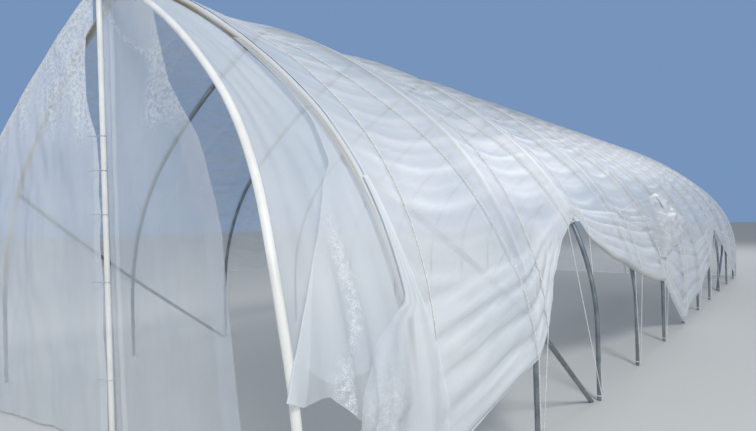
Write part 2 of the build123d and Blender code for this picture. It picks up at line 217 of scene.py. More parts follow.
def arch(along, offset=0.0):
    """Across and up for an arc length from the right foot, with the outward direction."""
    if along > HALF_ARCH:
        point, out = arch(2 * HALF_ARCH - along, offset)
        return Vector((-point.x, point.y)), Vector((-out.x, out.y))
    if along <= LEG:
        return Vector((HALF_WIDTH + offset, along)), Vector((1, 0))
    for (centre, radius, start, _), low, high in zip(ARCS, STARTS, STARTS[1:]):
        if along <= high + 1e-9:
            turn = start + (along - low) / radius
            out = Vector((math.cos(turn), math.sin(turn)))
            return centre + out * (radius + offset), out


def height_to_arc(height):
    """Arc length from the foot to a height on the leg or shoulder."""
    if height <= LEG:
        return height
    return LEG + SHOULDER_RADIUS * math.asin((height - LEG) / SHOULDER_RADIUS)


def bays_at(y):
    """Bays from the first hoop to a place along the tunnel."""
    return (y - FRONT) / BAY


def hoop_spot(side, along, y, offset=0.0):
    """A place on the arch, an arc length up from the foot on one side."""
    point, _ = arch(along, offset)
    return Vector((side * point.x, y, point.y))


def hoop_out(side, along):
    """The direction out of the tunnel, square to the arch, at an arc length up from the foot."""
    _, out = arch(along)
    return Vector((side * out.x, 0, out.y))


def bow_axes(end):
    """The origin of the leaning bow's plane, and its directions across and up."""
    across = Vector((1, end * BOW_SKEW, 0)).normalized()
    normal = Vector((end * BOW_SKEW, -1, -end * BOW_LEAN)).normalized()
    return Vector((0, end * (BOW_LEAD - FRONT), 0)), across, normal.cross(across).normalized()


BOW_AXES = {end: bow_axes(end) for end in (-1, 1)}


def bow_setback(height):
    """How far the bow's upright legs stand back from its leaning plane at a height."""
    share = clamp((BOW_KNEE + BOW_BEND - height) / (2 * BOW_BEND))
    return BOW_LEAN * (BOW_BEND * share**2 + max(BOW_KNEE - BOW_BEND - height, 0))


def bow_spot(end, side, along, offset=0.0):
    """A place on the leaning bow, an arc length up from its foot on one side."""
    point, _ = arch(along, offset - BOW_INSET)
    origin, across, up = BOW_AXES[end]
    spot = origin + across * (side * point.x) + up * point.y
    return spot - Vector((0, end * bow_setback(spot.z), 0))


def post_x(height):
    """Where the leaning centre post stands across the tunnel at a height."""
    return POST_FOOT - POST_LEAN * height


def bow_forward(end):
    """The direction out of the tunnel, square to the leaning bow's plane."""
    _, across, up = BOW_AXES[end]
    out = across.cross(up)
    return out if out.y * end > 0 else -out


def ripple(place, scale, seed):
    """Smooth noise from -1 to 1, finer with a larger scale."""
    return noise.noise(Vector(place) * scale + Vector((seed, 2.7 * seed, 5.1 * seed)))


def crease(phase, sharpness=2.0):
    """A fold line along a wave: a sharp ridge at every whole number, broad hollows between."""
    return (0.5 + 0.5 * math.cos(2 * math.pi * phase)) ** sharpness


def rope_bays(along):
    """Where the two ropes cross a bay, as shares of it, an arc length up from the foot."""
    share = along / (2 * HALF_ARCH)
    return share, 1 - share


def cover_folds(side, along, y):
    """Wrinkles along the tunnel, from 0 in their hollows to 1 on their ridges."""
    bays = bays_at(y)
    span = math.sin(math.pi * (bays - math.floor(bays)))
    run = along + 0.10 * span + 0.05 * ripple((0, y, along), 0.9, 3 + side)
    folds = crease(run / 0.21 + 0.9 * ripple((bays // 1, along, 0), 1.3, 11), 3)
    folds += 0.6 * crease(run / 0.13 + 1.7 * ripple((bays // 1, 0, along), 1.1, 17), 3)
    return span**0.6 * folds * (0.4 + 0.6 * abs(ripple((y, along, 0), 0.7, 23)))


def cover_depth(side, along, y):
    """How far the film over the hoops lies inside its tight line."""
    bays = bays_at(y)
    part = bays - math.floor(bays)
    span = math.sin(math.pi * part)
    depth = SAG * (0.25 + 0.75 * smooth(0.8, 2.4, along)) * span**1.4
    for place in rope_bays(along):
        gap = (part - place) * BAY
        depth += ROPE_GROOVE * smooth(1.2, 2.0, along) * math.exp(-((gap / 0.05) ** 2)) * span
    clear = min(1.0, min(abs(part - place) for place in rope_bays(along)) * BAY / 0.07)
    return depth - 0.010 * clear * cover_folds(side, along, y)


def cover_spot(side, along, y, lift=0.0):
    """A place on the film over the hoops, or lifted off it."""
    return hoop_spot(side, along, y, FILM_OFFSET - cover_depth(side, along, y) + lift)


def sheet_mesh(name, columns, rows, place, marks=(), torn=None):
    """A grid of film whose corner-to-corner shares are placed by a function.

    The UV map is in metres, and each mark is a named value from 0 to 1 for the finish.
    The faces that the torn function picks are left out."""
    bm = bmesh.new()
    bmesh.ops.create_grid(bm, x_segments=columns, y_segments=rows, size=0.5)
    layers = {key: bm.verts.layers.float.new(key) for key, _ in marks}
    uv = bm.loops.layers.uv.new("film")
    shares = {vert: (vert.co.x + 0.5, vert.co.y + 0.5) for vert in bm.verts}
    for vert, (u, v) in shares.items():
        vert.co = place(u, v)
        for key, reader in marks:
            vert[layers[key]] = reader(u, v)
    width = sum((place(i / 20, 0.5) - place((i + 1) / 20, 0.5)).length for i in range(20))
    length = sum((place(0.5, i / 20) - place(0.5, (i + 1) / 20)).length for i in range(20))
    for face in bm.faces:
        face.smooth = True
        for loop in face.loops:
            u, v = shares[loop.vert]
            loop[uv].uv = (u * width, v * length)
    if torn:
        middles = {face: [sum(shares[v][k] for v in face.verts) / 4 for k in (0, 1)] for face in bm.faces}
        holes = [face for face, (u, v) in middles.items() if torn(u, v)]
        bmesh.ops.delete(bm, geom=holes, context="FACES")
    return finish_mesh(name, bm)


def finish_mesh(name, bm):
    """Makes a bmesh a piece that rides on the root body."""
    mesh = bpy.data.meshes.new(name)
    bm.to_mesh(mesh)
    bm.free()
    piece = bpy.data.objects.new(name, mesh)
    bpy.context.scene.collection.objects.link(piece)
    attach(piece, "root")
    return piece


# Materials


def colour(code):
    """A linear colour from an sRGB hex value."""
    parts = [int(code[i : i + 2], 16) / 255 for i in (0, 2, 4)]
    parts = [part / 12.92 if part <= 0.04045 else ((part + 0.055) / 1.055) ** 2.4 for part in parts]
    return (*parts, 1.0)


def add(tree, kind, settings=None, links=None, stops=()):
    """Adds a node with its own settings, socket values, incoming links and ramp stops."""
    node = tree.nodes.new(kind)
    for element, (position, shade) in zip(node.color_ramp.elements if stops else (), stops):
        element.position, element.color = position, colour(shade)
    for key, value in (settings or {}).items():
        setattr(node, key, value)
    for key, value in (links or {}).items():
        socket = node.inputs[key]
        if isinstance(value, bpy.types.NodeSocket):
            tree.links.new(value, socket)
        else:
            socket.default_value = value
    return node


def new_material(name):
    """An empty material and its node tree."""
    material = bpy.data.materials.new(name)
    material.use_nodes = True
    material.node_tree.nodes.clear()
    return material, material.node_tree


def polyethylene_film():
    """Polyethylene greenhouse film, blown and folded: milky, glossy, dusty, creased in places, with painted
    sparkle where crinkled.
    """
    material, tree = new_material("polyethylene_film")
    place = add(tree, "ShaderNodeTexCoord").outputs["Object"]
    gather = add(tree, "ShaderNodeAttribute", {"attribute_name": "gather"}).outputs["Fac"]
    stain = add(tree, "ShaderNodeAttribute", {"attribute_name": "stain"}).outputs["Fac"]
    crinkle_sparkle = add(tree, "ShaderNodeAttribute", {"attribute_name": "crinkle_sparkle"}).outputs["Fac"]
    dust = add(tree, "ShaderNodeTexNoise", links={"Vector": place, "Scale": 1.7, "Detail": 5.0})
    milk = add(tree, "ShaderNodeTexNoise", links={"Vector": place, "Scale": 0.6, "Detail": 2.0})
    shade = add(tree, "ShaderNodeValToRGB", links={"Fac": dust.outputs["Fac"]},
                stops=[(0.3, "DDE5EF"), (0.75, "EFF3F8")])
    old = add(tree, "ShaderNodeMix", {"data_type": "RGBA"},
              {"Factor": stain, "A": shade.outputs["Color"], "B": colour("AC9C7C")})
    density = add(tree, "ShaderNodeMapRange",
                  links={"Value": milk.outputs["Fac"], "To Min": 0.33, "To Max": 0.47})
    thick = add(tree, "ShaderNodeMath", {"operation": "MULTIPLY_ADD", "use_clamp": True},
                {0: gather, 1: 0.45, 2: density.outputs["Result"]})
    # Small flat facets about 7 mm across, pressed in where the roll of film was folded; their crinkled rims
    # get painted sparkle as added opacity
    facet = add(tree, "ShaderNodeTexVoronoi", {"feature": "DISTANCE_TO_EDGE"},
                {"Vector": place, "Scale": 140.0, "Randomness": 0.9})
    rims = add(tree, "ShaderNodeMapRange",
               links={"Value": facet.outputs["Distance"], "From Min": 0.02, "From Max": 0.18,
                      "To Min": 1.0, "To Max": 0.0})
    fleck = add(tree, "ShaderNodeTexNoise", links={"Vector": place, "Scale": 36.0, "Detail": 5.0})
    spots = add(tree, "ShaderNodeMapRange",
                links={"Value": fleck.outputs["Fac"], "From Min": 0.4, "From Max": 0.58})
    sparkle_specks = add(tree, "ShaderNodeMath", {"operation": "MULTIPLY"},
                {0: rims.outputs["Result"], 1: spots.outputs["Result"]})
    # The facet rims are made more opaque, and so whiter, where the film is crinkled: painted sparkle.
    painted_sparkle = add(tree, "ShaderNodeMath", {"operation": "MULTIPLY", "use_clamp": True},
               {0: sparkle_specks.outputs[0], 1: crinkle_sparkle})
    thick = add(tree, "ShaderNodeMath", {"operation": "MULTIPLY_ADD", "use_clamp": True},
                {0: painted_sparkle.outputs[0], 1: 0.9, 2: thick.outputs[0]})
    fine = add(tree, "ShaderNodeTexNoise", links={"Vector": place, "Scale": 55.0, "Detail": 3.0})
    soft = add(tree, "ShaderNodeTexNoise", links={"Vector": place, "Scale": 7.0, "Detail": 3.0})
    glint = add(tree, "ShaderNodeMath", {"operation": "MULTIPLY_ADD"},
                {0: crinkle_sparkle, 1: 0.9, 2: 0.06})
    bump_fine = add(tree, "ShaderNodeBump",
                    links={"Height": fine.outputs["Fac"], "Strength": glint.outputs[0], "Distance": 0.006})
    bump = add(tree, "ShaderNodeBump", links={"Height": soft.outputs["Fac"], "Strength": 0.35,
               "Distance": 0.01, "Normal": bump_fine.outputs["Normal"]})
    shader = add(tree, "ShaderNodeBsdfPrincipled", links={
        "Base Color": old.outputs["Result"], "Roughness": 0.42, "IOR": 1.5, "Specular IOR Level": 0.3,
        "Alpha": thick.outputs[0], "Normal": bump.outputs["Normal"]})
    add(tree, "ShaderNodeOutputMaterial", links={"Surface": shader.outputs["BSDF"]})
    return material


def galvanised_steel():
    """Galvanised steel pipe: dull zinc with faint spangle and darker streaks."""
    material, tree = new_material("galvanised_steel")
    place = add(tree, "ShaderNodeTexCoord").outputs["Object"]
    spangle = add(tree, "ShaderNodeTexVoronoi", links={"Vector": place, "Scale": 90.0})
    streak = add(tree, "ShaderNodeTexNoise", links={"Vector": place, "Scale": 9.0, "Detail": 6.0})
    shade = add(tree, "ShaderNodeValToRGB", links={"Fac": streak.outputs["Fac"]},
                stops=[(0.3, "7E8587"), (0.7, "A4AAAB")])
    rough = add(tree, "ShaderNodeMapRange",
                links={"Value": spangle.outputs["Distance"], "To Min": 0.38, "To Max": 0.55})
    shader = add(tree, "ShaderNodeBsdfPrincipled", links={
        "Base Color": shade.outputs["Color"], "Metallic": 0.85, "Roughness": rough.outputs["Result"]})
    add(tree, "ShaderNodeOutputMaterial", links={"Surface": shader.outputs["BSDF"]})
    return material


def spring_wire():
    """Bright zinc-plated spring wire, scuffed where the clips are pushed on."""
    material, tree = new_material("zinc_plated_wire")
    place = add(tree, "ShaderNodeTexCoord").outputs["Object"]
    scuff = add(tree, "ShaderNodeTexNoise", links={"Vector": place, "Scale": 160.0, "Detail": 3.0})
    rough = add(tree, "ShaderNodeMapRange",
                links={"Value": scuff.outputs["Fac"], "To Min": 0.2, "To Max": 0.5})
    shader = add(tree, "ShaderNodeBsdfPrincipled", links={
        "Base Color": colour("D9DCDE"), "Metallic": 0.7, "Roughness": rough.outputs["Result"]})
    add(tree, "ShaderNodeOutputMaterial", links={"Surface": shader.outputs["BSDF"]})
    return material


def white_coated_pipe():
    """Pipe with a white plastic coat, matt with age and unevenly dusty."""
    material, tree = new_material("white_coated_pipe")
    place = add(tree, "ShaderNodeTexCoord").outputs["Object"]
    dust = add(tree, "ShaderNodeTexNoise", links={"Vector": place, "Scale": 6.0, "Detail": 6.0})
    shade = add(tree, "ShaderNodeValToRGB", links={"Fac": dust.outputs["Fac"]},
                stops=[(0.3, "E4E5E2"), (0.6, "F2F3F1")])
    shader = add(tree, "ShaderNodeBsdfPrincipled",
                 links={"Base Color": shade.outputs["Color"], "Roughness": 0.42})
    add(tree, "ShaderNodeOutputMaterial", links={"Surface": shader.outputs["BSDF"]})
    return material


def twisted_rope():
    """Twisted polyethylene rope, off-white and slightly fuzzy."""
    material, tree = new_material("twisted_polyethylene_rope")
    place = add(tree, "ShaderNodeTexCoord").outputs["Object"]
    fuzz = add(tree, "ShaderNodeTexNoise", links={"Vector": place, "Scale": 120.0, "Detail": 3.0})
    shade = add(tree, "ShaderNodeValToRGB", links={"Fac": fuzz.outputs["Fac"]},
                stops=[(0.35, "CFCFCC"), (0.65, "F0F0EE")])
    shader = add(tree, "ShaderNodeBsdfPrincipled",
                 links={"Base Color": shade.outputs["Color"], "Roughness": 0.7})
    add(tree, "ShaderNodeOutputMaterial", links={"Surface": shader.outputs["BSDF"]})
    return material


FILM = polyethylene_film()
ZINC = galvanised_steel()
WIRE = spring_wire()
COATED = white_coated_pipe()
ROPE = twisted_rope()

FINISHES = {
    "galvanised_pipe": ZINC, "clip_wire": WIRE, "white_pipe": COATED, "rope": ROPE, "cover_film": FILM,
}
for row in frame["record"]["subparts"]:
    solid = frame["nodes"][row["node"]]
    solid.data.materials.clear()
    solid.data.materials.append(FINISHES[row["material_slot"]])


def dress(piece, material):
    """Gives a piece one material."""
    piece.data.materials.clear()
    piece.data.materials.append(material)


# The cover over the hoops


def right_foot(y):
    """Arc length from the foot to the right hem."""
    return height_to_arc(between(RIGHT_HEM, bays_at(y)))


def near_knot(place, height, bays, along):
    """How near a place on the cover is to a tied knot, 1 at the knot."""
    reach = math.hypot((bays - place) * BAY, along - height_to_arc(height))
    return math.exp(-((reach / 0.2) ** 2))


def knot_pleats(along, y):
    """Depth of the pleats that run from the tied knots, and how bunched the film is there, thinned in the
    hollows as painted shade.
    """
    bays = bays_at(y)
    foot = right_foot(y)
    top = height_to_arc(between(PLEAT_TOPS, bays))
    rank = (along - foot) / max(top - foot, 0.12)
    fade = 1 - smooth(0.7, 1.1, rank)
    wander = 0.25 * ripple((bays * 0.5, 0.6 * rank, 0), 1.5, 31)
    hollows = crease(rank * 4.3 + wander, 7) + 0.5 * crease(rank * 7.3 + 1.5 * wander, 9)
    room = clamp((top - foot) / 0.5) * smooth(0.02, 0.35, bays)
    depth = 0.026 * (1 - clamp(hollows)) * fade * room
    # The film is made thinner in the pleats' hollows, so that they read dark: painted shade.
    bunch = fade * (0.6 - 0.6 * clamp(hollows))
    # Layered folds above the rolled part of the hem, thinned along their creases as painted shade
    layers = smooth(2.1, 2.7, bays) * (1 - smooth(3.75, 3.95, bays)) * (1 - smooth(0.1, 0.2, along - foot))
    layers *= 1 - crease((along - foot) / 0.045 + 3 * wander, 4)
    depth += 0.02 * layers
    bunch += 0.7 * layers
    for place, height in KNOTS:
        near = near_knot(place, height, bays, along)
        depth += 0.02 * near
        bunch += near
    return depth, clamp(bunch)


def hoop_contact(along, y):
    """How closely the film lies on a hoop, from 0 between hoops to 1 on one."""
    bays = bays_at(y)
    tight = 0.35 + 0.65 * smooth(1.5, 2.2, along)
    return 0.9 * tight * math.exp(-(((bays - round(bays)) * BAY / 0.022) ** 2))


def hem_roll(bays):
    """Radius of the roll that the hem is gathered into."""
    return 0.004 + 0.026 * smooth(2.0, 2.6, bays) * (1 - smooth(3.75, 4.0, bays))


def cover_right_spot(along, y, lift=0.0):
    """A place on the right sheet, with the pleats from its tied knots."""
    depth, _ = knot_pleats(along, y)
    return cover_spot(1, along, y, lift) + hoop_out(1, along) * depth


def cover_y(u):
    """Place along the tunnel for a share of the cover, whose columns crowd near the hoops."""
    bays = u * BAYS
    bays -= 0.11 * math.sin(2 * math.pi * bays)
    return FRONT + EDGE_ROOM + bays / BAYS * (BAY * BAYS - EDGE_ROOM + OVERHANG)


def cover_right_along(foot, v):
    """Arc length up to a share of the right sheet, above the part that is rolled up."""
    return foot + clamp((v - ROLL_SHARE) / (1 - ROLL_SHARE)) * (HALF_ARCH - foot)


def cover_right_place(u, v):
    """The right sheet, whose hem is wound into a roll."""
    y = cover_y(u)
    foot = right_foot(y)
    if v >= ROLL_SHARE:
        return cover_right_spot(cover_right_along(foot, v), y)
    radius = hem_roll(bays_at(y))
    turn = 2 * math.pi * 1.3 * (1 - v / ROLL_SHARE)
    winding = radius * (1 - 0.25 * (1 - v / ROLL_SHARE))
    out = hoop_out(1, foot)
    down = Vector((out.z, 0, -out.x))
    curl = out * (radius - winding * math.cos(turn)) + down * (winding * math.sin(turn))
    return cover_right_spot(foot, y) + curl


def cover_right_gather(u, v):
    """How thick the film looks: pleats, hoop lines, wrinkles, and the lower wall, made thicker to paint its
    sunlit brightness.
    """
    y = cover_y(u)
    along = cover_right_along(right_foot(y), v)
    _, bunch = knot_pleats(along, y)
    bays = bays_at(y)
    # The lower wall is made more opaque, and so whiter: painted sunlight.
    thin = 0.2 * smooth(2.2, 2.8, bays) * (1 - smooth(5.0, 5.6, bays))
    wall = (0.38 - thin) * (1 - smooth(2.0, 3.4, along))
    roll = 0.5 if v < ROLL_SHARE else 0.0
    return clamp(0.22 + bunch + hoop_contact(along, y) + wall + roll + 0.55 * cover_folds(1, along, y))


def cover_right_stain(u, v):
    """Dust in the rolled hem and in the knots."""
    y = cover_y(u)
    bays = bays_at(y)
    along = cover_right_along(right_foot(y), v)
    hem = smooth(2.0, 2.2, bays) * (1 - smooth(3.6, 4.2, bays)) * (1 - smooth(0.5, 1.6, v / ROLL_SHARE))
    knots = sum(near_knot(place, height, bays, along) for place, height in KNOTS)
    return clamp(0.3 * hem + 0.15 * knots)


def is_torn(y, height):
    """The ragged hole in the right wall and the flap over it."""
    place, middle, wide, high, lean = TEAR
    across = (bays_at(y) - place - lean * (height - middle)) / wide
    ragged = 1 + 0.5 * ripple((y, height, 0), 14.0, 37)
    return across**2 + ((height - middle) / high) ** 2 < ragged


def cover_right_torn(u, v):
    """Where the right sheet is torn."""
    spot = cover_right_place(u, v)
    return is_torn(spot.y, spot.z)


def cover_left_along(v):
    """Arc length up to a share of the left sheet, from its straight hem."""
    foot = height_to_arc(LEFT_HEM)
    return foot + v * (HALF_ARCH - foot)


def cover_left_place(u, v):
    """The left sheet, from its hem to the ridge."""
    return cover_spot(-1, cover_left_along(v), cover_y(u))


def cover_left_gather(u, v):
    """Thicker along the hoops and on the wrinkles."""
    along, y = cover_left_along(v), cover_y(u)
    return clamp(0.15 + hoop_contact(along, y) + 0.8 * cover_folds(-1, along, y))


cover_right = sheet_mesh("film_cover_right", 560, 170, cover_right_place,
                         [("gather", cover_right_gather), ("stain", cover_right_stain)], cover_right_torn)
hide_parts("cover_right_roof", "cover_right_shoulder",
            "cover_right_wall_front", "cover_right_wall_rear")
cover_left = sheet_mesh("film_cover_left", 560, 120, cover_left_place, [("gather", cover_left_gather)])
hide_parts("cover_left_roof", "cover_left_shoulder", "cover_left_wall")
for piece in (cover_right, cover_left):
    dress(piece, FILM)


def flap_heavy(place, height):
    """Where the loose flap is crumpled and thick, from 0 in its thin front part to 1."""
    return smooth(-0.05, 0.3, place - 3.85 - 1.3 * (height - 0.93))


def flap_reach(u, v):
    """Bays from the first hoop, and height, for shares along and up the flap."""
    place = FLAP_START + u * (FLAP_STOP - FLAP_START)
    low, high = between(FLAP_LOW, place), between(FLAP_HIGH, place)
    return place, low + v * (high - low)


def flap_place(u, v):
    """The crumpled lap of film that is turned up over the wall."""
    place, height = flap_reach(u, v)
    y = FRONT + place * BAY
    loose = math.sin(math.pi * clamp(v * 0.9 + 0.05)) ** 0.5
    crumple = 0.8 - 1.1 * abs(ripple((y * 0.9, height * 1.8, 0), 2.6, 101))
    crumple += 0.3 - 0.5 * abs(ripple((y, height * 1.6, 0), 6.0, 103))
    slack = 0.012 + 0.085 * flap_heavy(place, height) * (1 - 0.6 * smooth(0.9, 1.0, u))
    return cover_right_spot(height_to_arc(height), y, 0.007 + slack * loose * max(crumple, 0.05))


def flap_torn(u, v):
    """Where the flap is torn, as the wall under it is."""
    spot = flap_place(u, v)
    return is_torn(spot.y, spot.z)


def flap_gather(u, v):
    """Thick where it is crumpled, and along its two long edges."""
    rim = 0.5 * (1 - smooth(0.0, 0.05, min(v, 1 - v)))
    return clamp(0.1 + 0.85 * flap_heavy(*flap_reach(u, v)) + rim)


film_flap = sheet_mesh("film_flap", 190, 60, flap_place,
                       [("gather", flap_gather), ("stain", lambda u, v: 0.1)], flap_torn)
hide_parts("cover_flap")
dress(film_flap, FILM)


def bunch_place(number, height):
    """A ruffle of film pulled tight round a hoop by its tie, as wide above as below."""

    def place(u, v):
        along = height_to_arc(height) - 0.06 + v * 0.11
        turn = 2 * math.pi * u
        waist = 0.35 + 0.65 * abs(2 * v - 1) ** 0.8
        ruffle = 0.5 + 0.5 * math.sin(turn * 9 + 3 * v)
        ruffle += 0.4 * ripple((math.cos(turn), math.sin(turn), v), 2.5, 111)
        radius = PIPE_RADIUS + 0.006 + waist * (0.008 + 0.034 * ruffle)
        centre = hoop_spot(1, along, FRONT + number * BAY)
        aside = Vector((0, radius * math.sin(turn), 0))
        return centre + hoop_out(1, along) * (radius * math.cos(turn)) + aside

    return place


for number, height in KNOTS:
    hoop_number = f"{int(number) + 1:02d}"
    bunch = sheet_mesh(f"film_bunch_{hoop_number}", 120, 14, bunch_place(number, height),
                       [("gather", lambda u, v: 1.0), ("stain", lambda u, v: 0.12)])
    dress(bunch, FILM)

# The film ends


def end_line(end):
    """Where the end hoop stands along the tunnel."""
    return -end * FRONT


def hood_place(end, side):
    """A sheet from the end hoop to the leaning bow, from near the ground to the ridge."""

    def place(u, v):
        along = FILM_FOOT + v * (HALF_ARCH - FILM_FOOT)
        hoop = hoop_spot(side, along, end_line(end) + end * OVERHANG, FILM_OFFSET)
        bow = bow_spot(end, side, along, PIPE_RADIUS + 0.002)
        spot = hoop.lerp(bow, u)
        sag = 0.03 * math.sin(math.pi * u) * smooth(0.3, 1.5, along)
        wave = 0.012 * ripple((u * 2.4, along * 0.5, side), 3.0, 41) * math.sin(math.pi * u)
        return spot + hoop_out(side, along) * (wave - sag)

    return place


def panel_top(end, side):
    """Arc length up the bow to where it meets the panel's free edge."""
    along = HALF_ARCH
    while side * (bow_spot(end, side, along).x - post_x(CROWN)) < 0.06:
        along -= 0.01
    return along


def panel_place(end, side):
    """A sheet from the leaning bow, round which it is wrapped, to its edge at the centre post."""
    top = panel_top(end, side)
    seat = PIPE_RADIUS + 0.003

    def place(u, v):
        along = FILM_FOOT + v * (top - FILM_FOOT)
        bow = bow_spot(end, side, along, seat)
        edge_x = between(PANEL_EDGE, bow.z) if end < 0 else post_x(bow.z) + side * POST_RADIUS
        post_y = end_line(end) + end * BOW_CROWN_LEAD
        edge = Vector((edge_x, post_y + end * 0.025, bow.z))
        wrap = 0.5 * math.pi * clamp(u / PANEL_WRAP)
        rim = bow_spot(end, side, along, seat * math.cos(wrap)) + bow_forward(end) * seat * math.sin(wrap)
        spot = rim.lerp(edge, clamp((u - PANEL_WRAP) / (1 - PANEL_WRAP)))
        pull = math.sin(math.pi * clamp(u)) ** 0.7
        wave = 0.02 * ripple((spot.x, 0, spot.z * 0.22), 4.0, 51)
        wave += 0.008 * ripple((spot.x, 0, spot.z * 0.3), 14.0, 52)
        return spot + Vector((0, end * wave * pull * 1.5, 0))

    return place


front_panel_place = panel_place(-1, -1)


def panel_crinkle_sparkle(u, v):
    """Crinkled, with painted sparkle, in upright streaks near the top, and all along the upper free edge."""
    spot = front_panel_place(u, v)
    edge = smooth(0.93, 0.97, u) * smooth(1.95, 2.1, spot.z)
    streak = 0.5 + 0.9 * ripple((spot.x, 0, spot.z * 0.12), 9.0, 55)
    return clamp(smooth(1.95, 2.45, spot.z + 0.25 * streak - 0.12) * clamp(0.35 + 0.65 * streak) + edge)


def panel_gather(u, v):
    """The panel is doubled along the bow and along its free edge."""
    hem = 0.3 * (1 - smooth(0.0, 0.08, u)) + 0.3 * smooth(0.96, 0.975, u)
    return clamp(0.3 + hem)


front_hood_left = sheet_mesh("film_front_hood_left", 40, 160, hood_place(-1, -1))
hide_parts("front_hood_left")
front_panel_left = sheet_mesh("film_front_panel_left", 110, 160, front_panel_place,
                              [("crinkle_sparkle", panel_crinkle_sparkle), ("gather", panel_gather)])
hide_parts("front_panel_left")

back_pieces = []
for side, side_name in ((-1, "left"), (1, "right")):
    hood = sheet_mesh(f"film_back_hood_{side_name}", 40, 120, hood_place(1, side))
    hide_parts(f"back_hood_{side_name}")
    panel = sheet_mesh(f"film_back_panel_{side_name}", 90, 120, panel_place(1, side))
    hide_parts(f"back_panel_{side_name}")
    back_pieces += [(hood, (0.6 if side < 0 else 0.85, 4.3)), (panel, (2.6, 3.2))]


def door_place(u, v):
    """The door film: from behind the centre post to its free edge, which is turned back on itself."""
    height = DOOR_FOOT + v * (DOOR_TOP - DOOR_FOOT)
    post = Vector((post_x(height) - 0.01, FRONT - BOW_CROWN_LEAD + POST_RADIUS + 0.006, height))
    edge = Vector((between(DOOR_EDGE, height), FRONT - 0.035, height))
    along = (edge - post).normalized()
    out = Vector((along.y, -along.x, 0))
    width = (edge - post).length
    turn_back = min(DOOR_TURNBACK, 0.4 * width)
    run = u * (width + turn_back)
    layer = smooth(width - 0.004, width + 0.03, run)
    reach = run if run <= width else 2 * width - run
    wave = 0.024 * ripple((reach, 0, height * 0.16), 4.0, 61)
    wave += 0.005 * ripple((reach, 0, height * 0.3), 16.0, 62)
    wave += 0.012 * math.exp(-(((reach - 0.075) / 0.014) ** 2))
    wave *= smooth(0.02, 0.07, reach)
    return post + along * reach + out * (wave - 0.016 * layer)


def door_gather(u, v):
    """Doubled beside the post, and thicker above the bright rim of its upper fold."""
    spot = door_place(u, v)
    beside = 0.35 * (1 - smooth(0.085, 0.1, spot.x - post_x(spot.z)))
    above = 0.3 * smooth(-0.02, 0.03, spot.z - between(DOOR_RIM, spot.x))
    return beside + above - 0.1


def door_crinkle_sparkle(u, v):
    """Crinkled, with painted sparkle, along the rim of the upper fold, and in a patch by the rim's lower end.
    """
    spot = door_place(u, v)
    over = spot.z - between(DOOR_RIM, spot.x)
    rim = math.exp(-((over / 0.02) ** 2))
    patch = smooth(0.3, 0.45, spot.x) * smooth(1.95, 2.15, spot.z) * (1 - smooth(0.0, 0.25, over))
    return clamp(rim + patch)


front_door = sheet_mesh("film_front_door", 140, 160, door_place,
                        [("gather", door_gather), ("crinkle_sparkle", door_crinkle_sparkle)])
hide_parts("front_door_panel")


def height_to_arc_any(height):
    """Arc length from the foot to any height on the half arch."""
    low, high = 0.0, HALF_ARCH
    for _ in range(26):
        middle = (low + high) / 2
        if arch(middle)[0].y < height:
            low = middle
        else:
            high = middle
    return low


def strip_spot(gap, height, lift):
    """A place over the right half between the first hoop and the bow, a way ahead of the hoop."""
    along = height_to_arc_any(height)
    hoop = hoop_spot(1, along, FRONT, FILM_OFFSET + lift)
    bow = bow_spot(-1, 1, along, PIPE_RADIUS + 0.003 + lift)
    return hoop.lerp(bow, gap / max(FRONT - bow.y, 0.05))


def canopy_place(u, v):
    """The inner film between the first hoop and the bow, down to a slanting lower edge."""
    low = height_to_arc(0.84 + 0.13 * smooth(0.6, 1.0, u))
    along = low + v * (HALF_ARCH - low)
    hoop = hoop_spot(1, along, FRONT - 0.012, PIPE_RADIUS - 0.034)
    bow = bow_spot(-1, 1, along, -0.008)
    reach = (bow - hoop).length
    spot = hoop.lerp(bow, 0.03 / reach + u * (1 - 0.056 / reach))
    wave = 0.012 * ripple((u * 2.0, along * 0.35, 0), 4.0, 71) - 0.05
    return spot + hoop_out(1, along) * wave * math.sin(math.pi * u) ** 0.6


def curtain_lift(lead, height):
    """How far the drawn-back film stands off the line from the hoop to the bow."""
    width = between(CURTAIN_EDGE, height)
    loose = smooth(0.05, 0.3, lead) * (1 - smooth(1.3, 2.2, height)) * (1 - smooth(width - 0.16, width, lead))
    wave = 0.017 * math.sin(lead * 19 - 0.6) + 0.008 * math.sin(lead * 43 + 1.1)
    wave += 0.008 * ripple((lead, 0, height * 0.25), 10.0, 81)
    return 0.03 * clamp(lead / 0.65) - 0.014 + wave * loose


def curtain_turnback(height):
    """Width of the strip that the curtain's edge is folded back by."""
    return CURTAIN_FOLD * (1 - smooth(0.75, 1.4, height))


def curtain_place(u, v):
    """The drawn-back film hung from the first hoop, whose edge is folded back."""
    share = u * (CURTAIN_REACH + CURTAIN_TURNED)
    hem = between(CURTAIN_HEM, min(share, 2 * CURTAIN_REACH - share))
    height = hem + v * (CURTAIN_TOP - hem)
    width = between(CURTAIN_EDGE, height)
    run = u * (width + curtain_turnback(height) + 0.002)
    lead = run if run <= width else 2 * width - run
    layer = smooth(width - 0.003, width + 0.012, run)
    return strip_spot(lead + CURTAIN_GAP, height, curtain_lift(lead, height) - 0.012 * layer)


def curtain_crinkle_sparkle(u, v):
    """A strip of crinkled film with painted sparkle, in the curtain's lower part."""
    spot = curtain_place(u, v)
    lead = FRONT - spot.y
    strip = math.exp(-(((lead - between(CURTAIN_SPARKLE, spot.z)) / 0.04) ** 2))
    return strip * (1 - smooth(1.2, 1.5, spot.z))


def curtain_gather(u, v):
    """The folded strip is double, and the film is thick where its folds crowd."""
    spot = curtain_place(u, v)
    doubled = curtain_turnback(spot.z)
    inside = between(CURTAIN_EDGE, spot.z) + CURTAIN_GAP - FRONT + spot.y
    return 0.12 + 0.33 * (1 - smooth(doubled - 0.006, doubled + 0.004, inside))


